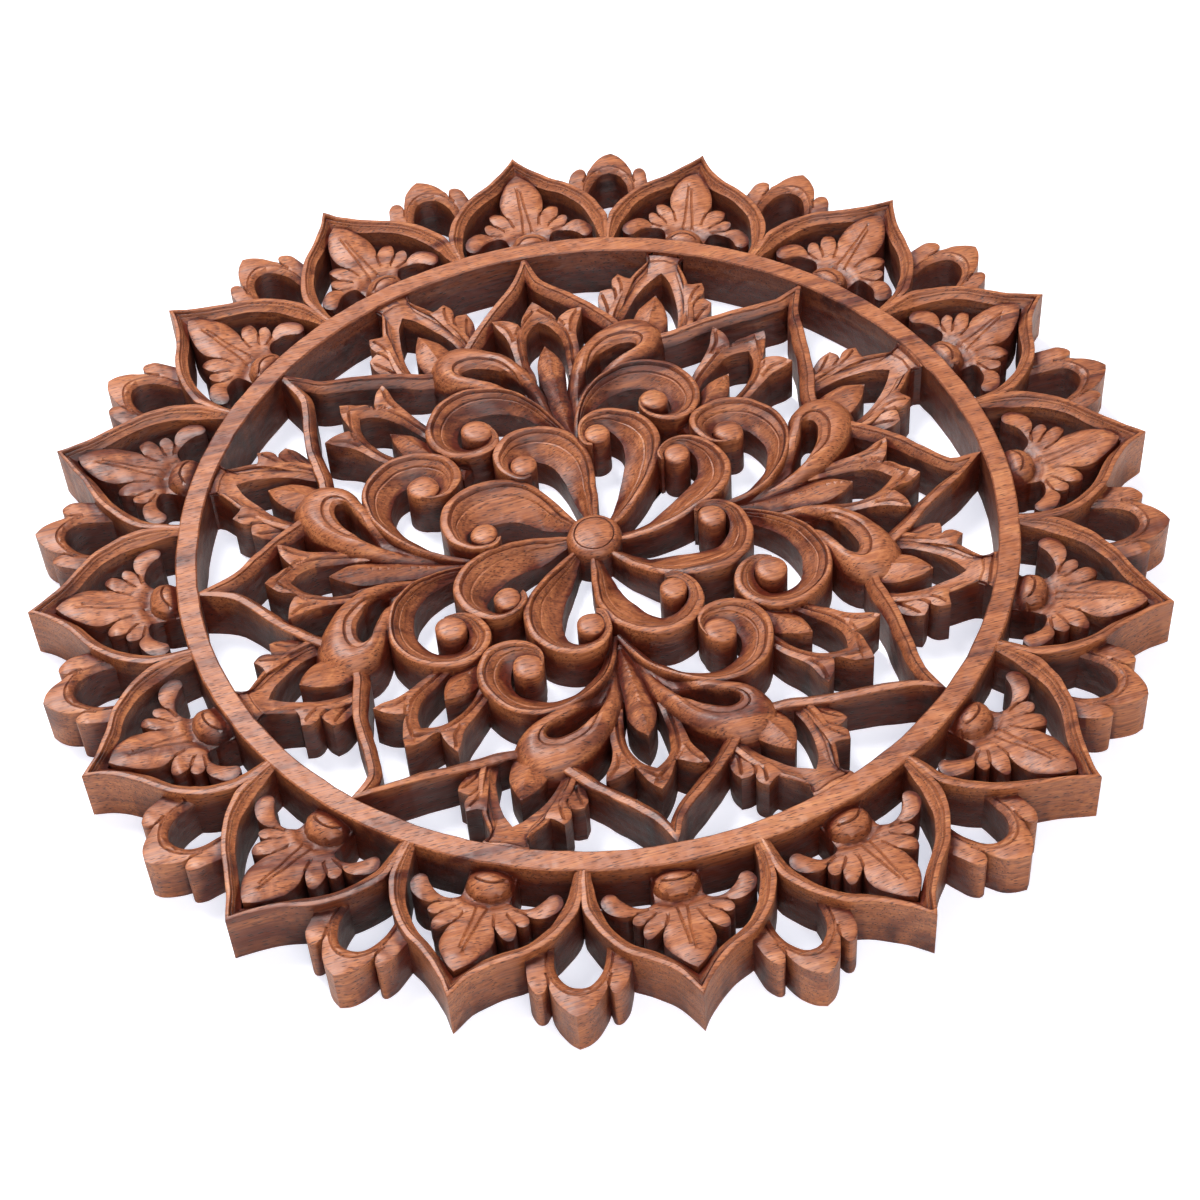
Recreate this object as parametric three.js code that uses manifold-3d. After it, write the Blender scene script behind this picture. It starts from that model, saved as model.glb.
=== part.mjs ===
// Carved wall panel: a round openwork relief cut from one board of hardwood.
// Millimetres, +Z up. The panel hangs upright: its flat back lies in the XZ plane at Y = 0
// and the carved side faces -Y. The origin is the middle of the back.
import * as THREE from 'three';
import { mergeVertices } from 'three/addons/utils/BufferGeometryUtils.js';
import Module from 'manifold-3d';

const wasm = await Module();
wasm.setup();

// Driving dimensions
const TIP_RADIUS = 200; // to the points of the big outer petals
const THICKNESS = 22; // back to the top of the ring and the big petals
const RING_OUTER = 148.2;
const RING_INNER = 140.6;
const OUTER_PETALS = 16;
const FRAMES = 8; // ogee frames inside the ring, and as many arched petals between them
const PAIRS = 4; // mirrored pairs of a teardrop and a scroll
const ARMS = 8; // spiral arms round the boss

// The inner flower was laid out a little off the ring's middle and turned slightly.
const FLOWER_SHIFT = [-0.8, 1.2];
const FLOWER_TURN = 1.5;

// Heights above the back, as parts of the thickness
const TOP = THICKNESS;
const PETAL_INNER_EDGE = 0.8 * THICKNESS;
const PALMETTE_TIP = 0.93 * THICKNESS;
const PALMETTE_FOOT = 0.8 * THICKNESS;
const SMALL_PETAL_TOP = 0.9 * THICKNESS;
const FRAME_TIP = 0.94 * THICKNESS;
const FRAME_FOOT = 0.73 * THICKNESS;
const CROWN_TOP = 0.88 * THICKNESS;
const BUD_RIDGE = 0.82 * THICKNESS;
const SCROLL_TOP = 0.85 * THICKNESS;
const SCROLL_FOOT = 0.62 * THICKNESS;
const DROP_TOP = 0.84 * THICKNESS;
const ARM_FOOT = 0.56 * THICKNESS;
const BOSS_TOP = 0.7 * THICKNESS;
const SLOPE_DROP = 0.2 * THICKNESS; // how far a band's inner face falls away
const LIP = 0.45; // part of a band's width that its raised lip takes
const FRAME_DROP = 0.8;
const ARCH_DROP = 2;
const BUD_EDGE_DROP = 2.8; // from a bud's ridge to its edges
const SPEAR_FALL = 5; // from a spear's tip to its foot
const ARCH_BUD_FALL = 2;
const DROP_OUTER_DROP = 4; // how far a teardrop's round flank falls
const DROP_HOLE_DROP = 2;
const DROP_CREST = 0.4; // part of a teardrop's width from its outer line to its crest
const BOSS_CHAMFER = 2.5;

// Where along their axes the heights climb
const LEAF_CLIMB = [RING_OUTER, 188.2];
const CROWN_CLIMB = [83, 119];
const DROP_CLIMB = [53, 83];
const SCROLL_CLIMB = 1 / 3; // part of a scroll's length
const ARM_CLIMB = 1 / 2;

// Outlines of the motifs, each with its own axis along +Y from the panel's middle.
// Halves run from the tip outwards on the +X side and are mirrored.
const BIG_PETAL_OUTER = [[0, TIP_RADIUS], [7, 190.4], [21, 178.5], [28.4, 168], [31.4, 157.9]];
// The opening beside a petal's leaves runs down inside the border and back up along the leaves.
const OPENING_BORDER = [[2.4, 189.1], [18.5, 174.6], [25.2, 161], [26.8, 145]];
const OPENING_LEAVES = [
  [10.6, 145], [15.6, 157], [19.4, 153], [24.6, 155], [23.4, 162], [11.4, 163.2], [12.8, 172.6],
  [6.2, 171.2], [8, 179.4],
];
const SMALL_PETAL_HALF = [
  [0, TIP_RADIUS], [6.4, 193], [8.2, 187], [13.2, 187.6], [16.8, 179.5], [9.4, 171.2], [7, 180], [0, 189.3],
];
const FRAME_OUTER = [[0, 142], [5, 132.3], [16, 118.8], [28.5, 101]];
const FRAME_INNER = [[0, 134], [3, 129], [12.6, 117], [24.5, 100]];
const CROWN_HALF = [
  [0, 119.5], [7, 107.4], [16.6, 110.4], [12.6, 98], [9.5, 83], [6, 81], [6.8, 97], [0, 108.5],
];
const SPEAR_HALF = [[0, 94], [5, 84], [3, 70], [2, 62]];
// The arch's outer line takes in the two leaflets on its flank.
const ARCH_OUTER = [
  [0, 142], [4.9, 142], [4.7, 137.4], [12, 126], [17.2, 128], [15.6, 119.8], [21.8, 119], [18, 105],
];
const ARCH_INNER = [
  [0, 131.5], [1.2, 130.4], [3, 128.2], [6, 123.4], [7.2, 120.6], [8.6, 117], [9.8, 112], [10.8, 104],
];
const ARCH_BUD_HALF = [[0, 119.5], [6.4, 109], [4, 97]];
const DROP_OUTER = [
  [-0.3, 47], [3, 69], [7.5, 84], [17, 95.5], [28, 101.6], [39.5, 100], [44.6, 91], [40, 81.5],
  [19, 71], [8.5, 58],
];
const DROP_HOLE = [
  [10.4, 75], [11, 79], [13, 84], [18, 88.8], [24.5, 92], [30, 92.2], [30.8, 88.6], [26, 84.2], [17, 80],
  [12.6, 77],
];
const SCROLL_OUTER = [
  [-0.3, 46], [7, 64.5], [18, 75], [32, 78.2], [45, 72.4], [51, 58.5], [43, 44.4], [28.6, 47.6],
];
const SCROLL_INNER = [
  [2.5, 44], [8.5, 58.5], [17, 66.6], [27, 69.4], [35.6, 66.2], [39.2, 58], [35.5, 52], [31.5, 53],
];
const SCROLL_EYE = { x: 33.5, y: 56.8, radius: 5.6 };
// The arms are laid out in radius and angle from the line to the middle of their eye.
const ARM_OUTER = [[9, -52], [27, -44], [43, -35], [53.6, -22.5], [57.4, -7], [51.5, 6], [39.5, 8.6]];
const ARM_INNER = [[9, -20], [22, -17.4], [34, -15], [43, -9.5], [47.4, -2.5], [45, 3.5], [41, 5]];
const ARM_EYE = { radius: 5, distance: 42.6 };
const ARM_PHASE = 34.2;
const BOSS_RADIUS = 10;
// On every second axis two scrolls meet, and the crown and the spear sit this much further in.
const INNER_SHIFT = 4.5;

// How round things are cut
const BOSS_SIDES = 12;
const RING_SIDES = 48;
const EYE_SIDES = 7;
const SLIVER = 0.5; // steps smaller than this left by the joins are smoothed away

// Placing: a motif's own plane is turned about the middle, clockwise seen from the front
const onWreath = (turns) => ([x, y]) => turned(x, y, -360 * turns);
const onFlower = (turns, side = 1) => ([x, y]) => {
  const [u, v] = turned(side * x, y, FLOWER_TURN - 360 * turns);
  return [u + FLOWER_SHIFT[0], v + FLOWER_SHIFT[1]];
};

function turned(x, y, degrees) {
  const angle = THREE.MathUtils.degToRad(degrees);
  const c = Math.cos(angle);
  const s = Math.sin(angle);
  return [x * c - y * s, x * s + y * c];
}

const polar = ([radius, degrees]) => turned(0, radius, degrees);
const mix = (a, b, t) => a + (b - a) * t;
const climb = (y, [start, end]) => THREE.MathUtils.clamp((y - start) / (end - start), 0, 1);

// A half outline that starts on the axis, with its mirror image in front of it
const mirrored = (half) => [...half.slice(1).reverse().map(([x, y]) => [-x, y]), ...half];

// A body from points and triangles, its faces turned outwards
function solid(positions, triangles) {
  const at = (i) => new THREE.Vector3(...positions[i]);
  const volume = triangles.reduce((sum, [a, b, c]) => sum + at(a).dot(at(b).cross(at(c))), 0);
  const faces = volume < 0 ? triangles.map(([a, b, c]) => [a, c, b]) : triangles;
  const mesh = new wasm.Mesh({
    numProp: 3,
    vertProperties: new Float32Array(positions.flat()),
    triVerts: new Uint32Array(faces.flat()),
  });
  return new wasm.Manifold(mesh);
}

// A three.js geometry as a body
function fromGeometry(geometry) {
  geometry.deleteAttribute('normal');
  geometry.deleteAttribute('uv');
  const merged = mergeVertices(geometry, 1e-4);
  const p = merged.attributes.position;
  const index = merged.index.array;
  const positions = Array.from({ length: p.count }, (_, i) => [p.getX(i), p.getY(i), p.getZ(i)]);
  const triangles = Array.from({ length: index.length / 3 }, (_, i) => [...index.slice(3 * i, 3 * i + 3)]);
  return solid(positions, triangles);
}

// A band between two lines of as many points. across(s) lists [part of the width, height]
// from the outer line to the inner one, s being the part of the length.
function band(outer, inner, across, closed = false) {
  const count = outer.length;
  const positions = [];
  outer.forEach((o, i) => {
    const n = inner[i];
    const s = i / (count - 1);
    positions.push([o[0], o[1], 0]);
    for (const [f, height] of across(s)) {
      positions.push([mix(o[0], n[0], f), mix(o[1], n[1], f), height]);
    }
    positions.push([n[0], n[1], 0]);
  });
  const ring = positions.length / count;
  const triangles = [];
  const spans = closed ? count : count - 1;
  for (let i = 0; i < spans; i += 1) {
    const a = i * ring;
    const b = ((i + 1) % count) * ring;
    for (let j = 0; j < ring; j += 1) {
      const k = (j + 1) % ring;
      triangles.push([a + j, a + k, b + k], [a + j, b + k, b + j]);
    }
  }
  if (!closed) {
    const last = (count - 1) * ring;
    for (let j = 1; j < ring - 1; j += 1) {
      triangles.push([0, j + 1, j], [last, last + j, last + j + 1]);
    }
  }
  return solid(positions, triangles);
}

// A plate with upright walls, its top at the height that heightAt gives for each corner
function plate(outline, place, heightAt) {
  const shape = new THREE.Shape(outline.map((p) => new THREE.Vector2(...p)));
  const geometry = new THREE.ExtrudeGeometry(shape, { depth: 1, bevelEnabled: false, steps: 1 });
  const p = geometry.attributes.position;
  for (let i = 0; i < p.count; i += 1) {
    const [x, y] = [p.getX(i), p.getY(i)];
    const [u, v] = place([x, y]);
    p.setXYZ(i, u, v, p.getZ(i) > 0.5 ? heightAt(x, y) : 0);
  }
  return fromGeometry(geometry);
}

// A plate with holes, whose points each carry their own height. The contour runs clockwise
// as the petals do, and is turned round because ExtrudeGeometry orders the holes to suit that.
function slab(contour, holes) {
  const flat = (points) => points.map(([x, y]) => new THREE.Vector2(x, y));
  const shape = new THREE.Shape(flat(contour).reverse());
  shape.holes = holes.map((points) => new THREE.Path(flat(points)));
  const key = (x, y) => `${Math.fround(x)} ${Math.fround(y)}`;
  const heights = new Map([contour, ...holes].flat().map(([x, y, height]) => [key(x, y), height]));
  const geometry = new THREE.ExtrudeGeometry(shape, { depth: 1, bevelEnabled: false, steps: 1 });
  const p = geometry.attributes.position;
  for (let i = 0; i < p.count; i += 1) {
    if (p.getZ(i) > 0.5) p.setZ(i, heights.get(key(p.getX(i), p.getY(i))));
  }
  return fromGeometry(geometry);
}

// A round post, its top chamfered where a chamfer is given
function post([x, y], radius, height, sides, chamfer = 0) {
  const shoulder = chamfer ? [[radius, height - chamfer], [radius - chamfer, height]] : [[radius, height]];
  const profile = [[0, 0], [radius, 0], ...shoulder, [0, height]];
  const geometry = new THREE.LatheGeometry(profile.map((p) => new THREE.Vector2(...p)), sides);
  geometry.rotateX(Math.PI / 2);
  geometry.translate(x, y, 0);
  return fromGeometry(geometry);
}

// A leaf with a ridge along its axis that falls from its tip to its foot
function ridgedLeaf(half, place, top, fall) {
  const right = half.map(place);
  const left = half.map(([x, y]) => place([-x, y]));
  return band(right, left, (s) => {
    const ridge = top - fall * s;
    return [[0, ridge - BUD_EDGE_DROP], [0.5, ridge], [1, ridge - BUD_EDGE_DROP]];
  });
}

// Both sides of a petal's border: outer and inner line, mirrored about the tip
function border(outerHalf, innerHalf, place, across) {
  const outer = mirrored(outerHalf).map(place);
  const inner = mirrored(innerHalf).map(place);
  return band(outer, inner, (s) => across(Math.abs(2 * s - 1)));
}

function ring() {
  const profile = [[RING_INNER, 0], [RING_OUTER, 0], [RING_OUTER, TOP], [RING_INNER, TOP], [RING_INNER, 0]];
  const geometry = new THREE.LatheGeometry(profile.map((p) => new THREE.Vector2(...p)), RING_SIDES);
  geometry.rotateX(Math.PI / 2);
  return fromGeometry(geometry);
}

// The sixteen big petals and their leaves as one plate; its inner edge is hidden in the ring
function wreath() {
  const contour = [];
  const holes = [circle(0.5 * (RING_INNER + RING_OUTER), RING_SIDES, TOP)];
  for (let i = 0; i < OUTER_PETALS; i += 1) {
    const at = (points, heightOf) => points.map((p) => [...onWreath(i / OUTER_PETALS)(p), heightOf(p)]);
    contour.push(...at(mirrored(BIG_PETAL_OUTER).slice(1), () => TOP));
    for (const side of [1, -1]) {
      const across = (points) => points.map(([x, y]) => [side * x, y]);
      const border = at(across(OPENING_BORDER), () => PETAL_INNER_EDGE);
      holes.push([...border, ...at(across(OPENING_LEAVES), ([, y]) => leafHeight(y))]);
    }
  }
  return slab(contour, holes);
}

const leafHeight = (y) => mix(PALMETTE_FOOT, PALMETTE_TIP, climb(y, LEAF_CLIMB));

function circle(radius, sides, height) {
  return Array.from({ length: sides }, (_, i) => [...turned(0, radius, (360 * i) / sides), height]);
}

function smallPetal(place) {
  const half = SMALL_PETAL_HALF;
  const outline = [...half, ...half.slice(1, -1).reverse().map(([x, y]) => [-x, y])];
  return plate(outline, place, () => SMALL_PETAL_TOP);
}

// An ogee frame with its crown and spear, which sit further in by shift
function frame(place, shift) {
  const edge = (s) => {
    const height = mix(FRAME_TIP, FRAME_FOOT, s);
    return [[0, height], [1, height - FRAME_DROP]];
  };
  const strip = border(FRAME_OUTER, FRAME_INNER, place, edge);
  const outline = [...CROWN_HALF, ...CROWN_HALF.slice(1, -1).reverse().map(([x, y]) => [-x, y])];
  const inwards = ([x, y]) => place([x, y - shift]);
  const crown = plate(outline, inwards, (x, y) => mix(FRAME_FOOT, CROWN_TOP, climb(y, CROWN_CLIMB)));
  const spear = ridgedLeaf(SPEAR_HALF, inwards, BUD_RIDGE, SPEAR_FALL);
  return [strip, crown, spear];
}

function arch(place) {
  const strip = border(ARCH_OUTER, ARCH_INNER, place, (s) => {
    const height = mix(TOP, FRAME_FOOT, s);
    return [[0, height], [1, height - ARCH_DROP]];
  });
  const bud = ridgedLeaf(ARCH_BUD_HALF, place, CROWN_TOP, ARCH_BUD_FALL);
  return [strip, bud];
}

// A band with a flat lip and an inner face that slopes away
const lipAndSlope = (height) => [[0, height], [LIP, height], [1, height - SLOPE_DROP]];

// Teardrop with its long hole, and the scroll beside it
function dropAndScroll(place) {
  const drop = band(DROP_OUTER.map(place), DROP_HOLE.map(place), (s) => {
    const [, y] = DROP_OUTER[Math.round(s * (DROP_OUTER.length - 1))];
    const height = mix(SCROLL_FOOT, DROP_TOP, climb(y, DROP_CLIMB));
    return [[0, height - DROP_OUTER_DROP], [DROP_CREST, height], [1, height - DROP_HOLE_DROP]];
  }, true);
  const scroll = band(SCROLL_OUTER.map(place), SCROLL_INNER.map(place), (s) => (
    lipAndSlope(mix(SCROLL_FOOT, SCROLL_TOP, climb(s, [0, SCROLL_CLIMB])))
  ));
  const eye = post(place([SCROLL_EYE.x, SCROLL_EYE.y]), SCROLL_EYE.radius, SCROLL_TOP, EYE_SIDES);
  return [drop, scroll, eye];
}

function arm(place) {
  const outline = (points) => points.map((p) => place(polar(p)));
  const curl = band(outline(ARM_OUTER), outline(ARM_INNER), (s) => (
    lipAndSlope(mix(ARM_FOOT, SCROLL_TOP, climb(s, [0, ARM_CLIMB])))
  ));
  const eye = post(place([0, ARM_EYE.distance]), ARM_EYE.radius, SCROLL_TOP, EYE_SIDES);
  return [curl, eye];
}

function boss(place) {
  return post(place([0, 0]), BOSS_RADIUS, BOSS_TOP, BOSS_SIDES, BOSS_CHAMFER);
}

const pieces = [ring(), wreath(), boss(onFlower(0))];
for (let i = 0; i < OUTER_PETALS; i += 1) {
  pieces.push(smallPetal(onWreath((i + 0.5) / OUTER_PETALS)));
}
for (let i = 0; i < FRAMES; i += 1) {
  pieces.push(...frame(onFlower(i / FRAMES), i % 2 ? INNER_SHIFT : 0), ...arch(onFlower((i + 0.5) / FRAMES)));
}
for (let i = 0; i < PAIRS; i += 1) {
  pieces.push(...dropAndScroll(onFlower(i / PAIRS, 1)), ...dropAndScroll(onFlower(i / PAIRS, -1)));
}
for (let i = 0; i < ARMS; i += 1) {
  pieces.push(...arm(onFlower(i / ARMS - ARM_PHASE / 360)));
}

const carved = wasm.Manifold.union(pieces).simplify(SLIVER);
const { vertProperties, triVerts } = carved.getMesh();
const geometry = new THREE.BufferGeometry();
geometry.setAttribute('position', new THREE.BufferAttribute(new Float32Array(vertProperties), 3));
geometry.setIndex(new THREE.BufferAttribute(new Uint32Array(triVerts), 1));
geometry.computeVertexNormals();

const wood = new THREE.MeshStandardMaterial({ color: '#9a5a34', roughness: 0.45, metalness: 0 });
const panel = new THREE.Mesh(geometry, wood);
panel.name = 'carved_panel';

const group = new THREE.Group();
group.rotation.x = Math.PI / 2;
group.add(panel);

export default group;
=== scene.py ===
# Looks of the carved wall panel: the fine carving, the wood, the board behind it and the light.
# Motifs are drawn in millimetres in the panel's own plane: x right, y up, z out of the wall.
import math

import bmesh
import bpy
import numpy as np
from mathutils import Matrix, Vector, noise
from mathutils.bvhtree import BVHTree
from mathutils.geometry import delaunay_2d_cdt


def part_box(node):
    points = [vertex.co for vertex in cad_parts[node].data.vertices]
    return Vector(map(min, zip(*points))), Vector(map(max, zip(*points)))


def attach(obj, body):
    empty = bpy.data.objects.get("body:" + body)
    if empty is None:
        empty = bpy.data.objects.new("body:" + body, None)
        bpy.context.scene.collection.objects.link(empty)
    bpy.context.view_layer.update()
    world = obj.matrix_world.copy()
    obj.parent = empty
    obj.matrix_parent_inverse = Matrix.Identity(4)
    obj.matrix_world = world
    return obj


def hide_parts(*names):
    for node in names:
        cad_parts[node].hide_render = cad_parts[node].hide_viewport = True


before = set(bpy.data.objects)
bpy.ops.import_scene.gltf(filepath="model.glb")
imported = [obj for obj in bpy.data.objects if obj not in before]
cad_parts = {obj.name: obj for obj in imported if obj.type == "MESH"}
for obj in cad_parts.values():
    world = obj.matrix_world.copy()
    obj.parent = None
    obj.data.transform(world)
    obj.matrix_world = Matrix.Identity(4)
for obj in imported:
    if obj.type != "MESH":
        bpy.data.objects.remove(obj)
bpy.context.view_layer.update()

MM = 0.001
lowest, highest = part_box("carved_panel")
TIP_RADIUS = round(highest.x / MM, 1)
TOP = round(-lowest.y / MM, 1)  # the ring and the big petals stand this high above the back
RING_OUTER = 148.2
RING_INNER = 140.6
PETALS = 16
FRAMES = 8
PAIRS = 4
ARMS = 8
FLOWER_SHIFT = Vector((-0.8, 1.2))  # the inner flower lies a little off the ring's middle
FLOWER_TURN = 1.5
INNER_SHIFT = 4.5  # on every second axis the crown and the spear sit this much further in
ARM_PHASE = 34.2
BACK_CUT = -4.0  # solids start below the back and are cut off flush with it

noise.seed_set(7)


# Plane geometry

def turned(p, degrees):
    angle = math.radians(degrees)
    c, s = math.cos(angle), math.sin(angle)
    return Vector((p[0] * c - p[1] * s, p[0] * s + p[1] * c))


def mix(a, b, t):
    return a + (b - a) * t


def smoothstep(t):
    t = min(1.0, max(0.0, t))
    return t * t * (3 - 2 * t)


def even(line, step=1.0, count=None):
    """Points at even steps along a line, or a given count of them."""
    lengths = [0.0]
    for a, b in zip(line, line[1:]):
        lengths.append(lengths[-1] + (b - a).length)
    total = lengths[-1]
    count = count or max(2, round(total / step) + 1)
    out, i = [], 0
    for k in range(count):
        want = total * k / (count - 1)
        while i < len(lengths) - 2 and lengths[i + 1] < want:
            i += 1
        span = lengths[i + 1] - lengths[i]
        out.append(line[i].lerp(line[i + 1], (want - lengths[i]) / span if span else 0))
    return out


CURVE_SPLITS = 12


def curve(points, step=1.0):
    """A smooth line through the points, cut at even steps."""
    p = [Vector(q) for q in points]
    dense = []
    for i in range(len(p) - 1):
        b, c = p[i], p[i + 1]
        a = p[i - 1] if i > 0 else b * 2 - c
        d = p[i + 2] if i + 2 < len(p) else c * 2 - b
        for k in range(CURVE_SPLITS):
            t = k / CURVE_SPLITS
            dense.append(0.5 * (2 * b + (c - a) * t + (2 * a - 5 * b + 4 * c - d) * t * t
                                + (3 * b - a - 3 * c + d) * t ** 3))
    dense.append(p[-1])
    return even(dense, step)


def chain(runs):
    """Smooth runs that meet at corners, as one outline."""
    out = []
    for run in runs:
        out += curve(run)[:-1]
    return out


def flipped(points):
    return [(-x, y) for x, y in points]


def both_sides(half_runs, last=None):
    """A closed outline from the runs of its right half, which start on the axis at the tip.
    Its last point can be given anew."""
    right = chain(half_runs) + [Vector(last or half_runs[-1][-1])]
    left = [Vector((-q.x, q.y)) for q in reversed(right)]
    if right[-1].x == 0:
        left = left[1:]
    return right + left[:-1]


def mirrored_line(half, count):
    right = even(curve(half), count=count)
    return [Vector((-q.x, q.y)) for q in reversed(right[1:])] + right


def line_walls(line):
    """The stretches of a line as rows of x, y, x, y."""
    return np.array([[*a, *b] for a, b in zip(line, line[1:])])


def distance(walls, q):
    a, b = walls[:, :2], walls[:, 2:]
    p = np.array([q[0], q[1]])
    ab = b - a
    t = np.clip(np.sum((p - a) * ab, axis=1) / np.maximum(np.sum(ab * ab, axis=1), 1e-9), 0, 1)
    return float(np.min(np.hypot(*(a + ab * t[:, None] - p).T)))


def inside(outline, q):
    crossings = 0
    for a, b in zip(outline, outline[1:] + outline[:1]):
        if (a.y > q.y) != (b.y > q.y) and q.x < a.x + (q.y - a.y) / (b.y - a.y) * (b.x - a.x):
            crossings += 1
    return crossings % 2 == 1


# Solids. Each is a bmesh in millimetres, closed, with its faces outwards.

TOUCH = 1e-4  # points nearer than this are one


def solid(bm):
    bmesh.ops.remove_doubles(bm, verts=bm.verts, dist=TOUCH)
    bmesh.ops.recalc_face_normals(bm, faces=bm.faces)
    return bm


def band(outer, inner, profile, closed=False):
    """Sweeps a section between two lines. profile(s, width) lists (distance from the outer
    line, height), s being the part of the length."""
    count = len(outer)
    bm = bmesh.new()
    first, rim = None, None
    for i, (o, n) in enumerate(zip(outer, inner)):
        width = (n - o).length
        across = (n - o) / width if width > 1e-6 else Vector((0, 0))
        section = [Vector((*o, BACK_CUT))]
        section += [Vector((*(o + across * d), h)) for d, h in profile(i / (count - 1), width)]
        section.append(Vector((*n, BACK_CUT)))
        if first is None:
            first = verts = [bm.verts.new(q) for q in section]
            rim = [bm.edges.new((verts[j], verts[j - 1])) for j in range(len(verts))]
            continue
        if closed and i == count - 1:
            break
        result = bmesh.ops.extrude_edge_only(bm, edges=rim)["geom"]
        rim = [g for g in result if isinstance(g, bmesh.types.BMEdge)]
        fresh = [g for g in result if isinstance(g, bmesh.types.BMVert)]
        match = {tuple(round(c, 6) for c in v.co): v for v in fresh}
        verts = [match[tuple(round(c, 6) for c in v.co)] for v in verts]
        for v, q in zip(verts, section):
            v.co = q
    if closed:
        start = [bm.edges.get((first[j], first[j - 1])) for j in range(len(first))]
        bmesh.ops.bridge_loops(bm, edges=start + rim)
    else:
        bm.faces.new(first)
        bm.faces.new(verts)
    return solid(bm)


ROW_PITCH = 0.87  # rows of a triangular grid, in grid steps
EDGE_GAP = 0.55  # grid points keep this far from the outline, in grid steps
LINE_EDGE_GAP = 0.28  # points of carved lines may come nearer to it
LINE_GAP = 0.45  # and grid points keep this far from carved lines


def leaf(outline, height, lines, grid=1.5):
    """A carved plate whose top is triangulated inside the outline, with points along the
    carved lines, and raised by height(x, y, distance to the edge)."""
    walls = line_walls(outline + outline[:1])
    carved = [q for line in lines for q in line]
    marks = np.array([[*q] for q in carved])
    keep = [q for q in carved
            if distance(walls, q) >= LINE_EDGE_GAP * grid and inside(outline, q)]
    xs, ys = [q.x for q in outline], [q.y for q in outline]
    rows = int((max(ys) - min(ys)) / grid) + 2
    columns = int((max(xs) - min(xs)) / grid) + 2
    for row in range(rows):
        for column in range(columns):
            q = Vector((min(xs) + (column + 0.5 * (row % 2)) * grid, min(ys) + row * grid * ROW_PITCH))
            if distance(walls, q) < EDGE_GAP * grid or not inside(outline, q):
                continue
            if np.min(np.hypot(marks[:, 0] - q.x, marks[:, 1] - q.y)) >= LINE_GAP * grid:
                keep.append(q)
    edges = [(k, (k + 1) % len(outline)) for k in range(len(outline))]
    points, _, faces, *_ = delaunay_2d_cdt(outline + keep, edges, [], 2, 1e-5)
    bm = bmesh.new()
    made = []
    for q in points:
        d = distance(walls, q)
        made.append(bm.verts.new((q.x, q.y, height(q.x, q.y, 0.0 if d < 1e-3 else d))))
    for face in faces:
        middle = sum((points[k] for k in face), Vector((0, 0))) / len(face)
        if inside(outline, middle):
            bm.faces.new([made[k] for k in face])
    bmesh.ops.delete(bm, geom=[v for v in bm.verts if not v.link_faces], context="VERTS")
    result = bmesh.ops.extrude_face_region(bm, geom=bm.faces[:])["geom"]
    for v in result:
        if isinstance(v, bmesh.types.BMVert):
            v.co.z = BACK_CUT
    return solid(bm)


def lathe(profile, steps, closed=False):
    """A turned solid on the z axis from (radius, height) pairs, which start and end on the
    axis or, if closed, go round a ring's section."""
    bm = bmesh.new()
    verts = [bm.verts.new((r, 0, h)) for r, h in profile]
    pairs = [(verts[k], verts[k - 1]) for k in range(len(verts))] if closed else zip(verts, verts[1:])
    edges = [bm.edges.new(pair) for pair in pairs]
    bmesh.ops.spin(bm, geom=verts + edges, cent=(0, 0, 0), axis=(0, 0, 1), angle=math.tau,
                   steps=steps, use_merge=True)
    return solid(bm)


DOME_RINGS = 6
POST_SIDES = 24


def post(x, y, radius, top, rise):
    """A round post with a domed top: the eye of a scroll or an arm."""
    profile = [(0, BACK_CUT), (radius, BACK_CUT)]
    for k in range(DOME_RINGS):
        angle = k / DOME_RINGS * math.pi / 2
        profile.append((radius * math.cos(angle) ** 0.6, top - rise + rise * math.sin(angle)))
    bm = lathe(profile + [(0, top)], POST_SIDES)
    bmesh.ops.translate(bm, verts=bm.verts, vec=(x, y, 0))
    return bm


def placed(bm, degrees, side=1, shift=(0, 0)):
    """A copy of a solid, mirrored for side -1, turned about the middle and moved."""
    copy = bm.copy()
    if side < 0:
        bmesh.ops.scale(copy, vec=(-1, 1, 1), verts=copy.verts)
        bmesh.ops.reverse_faces(copy, faces=copy.faces)
    matrix = Matrix.Translation((*shift, 0)) @ Matrix.Rotation(math.radians(degrees), 4, "Z")
    bmesh.ops.transform(copy, matrix=matrix, verts=copy.verts)
    return copy


def joined(solids, how="UNION"):
    """Joins solids two by two until one is left, or cuts the second from the first."""
    objects = []
    for k, bm in enumerate(solids):
        mesh = bpy.data.meshes.new(f"blank_{k}")
        bm.to_mesh(mesh)
        bm.free()
        objects.append(bpy.data.objects.new(mesh.name, mesh))
        bpy.context.scene.collection.objects.link(objects[-1])
    while len(objects) > 1:
        pairs = list(zip(objects[::2], objects[1::2]))
        for a, b in pairs:
            cut = a.modifiers.new("join", "BOOLEAN")
            cut.operation = how
            cut.solver = "MANIFOLD"
            cut.object = b
        depsgraph = bpy.context.evaluated_depsgraph_get()
        fresh = [bpy.data.meshes.new_from_object(a.evaluated_get(depsgraph)) for a, _ in pairs]
        for (a, b), mesh in zip(pairs, fresh):
            a.modifiers.clear()
            a.data = mesh
            bpy.data.objects.remove(b)
        objects = objects[::2]
    bm = bmesh.new()
    bm.from_mesh(objects[0].data)
    bpy.data.objects.remove(objects[0])
    return bm


def below_back():
    """All that lies behind the panel's flat back."""
    bm = bmesh.new()
    width, depth = 3 * TIP_RADIUS, 10.0
    matrix = Matrix.Translation((0, 0, -depth / 2)) @ Matrix.Diagonal((width, width, depth, 1))
    bmesh.ops.create_cube(bm, size=1.0, matrix=matrix)
    return bm


# Sections and heights

def arched(middle, ends, power):
    """Heights along a band that stands highest at its middle."""
    return lambda s: mix(middle, ends, abs(2 * s - 1) ** power)


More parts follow.
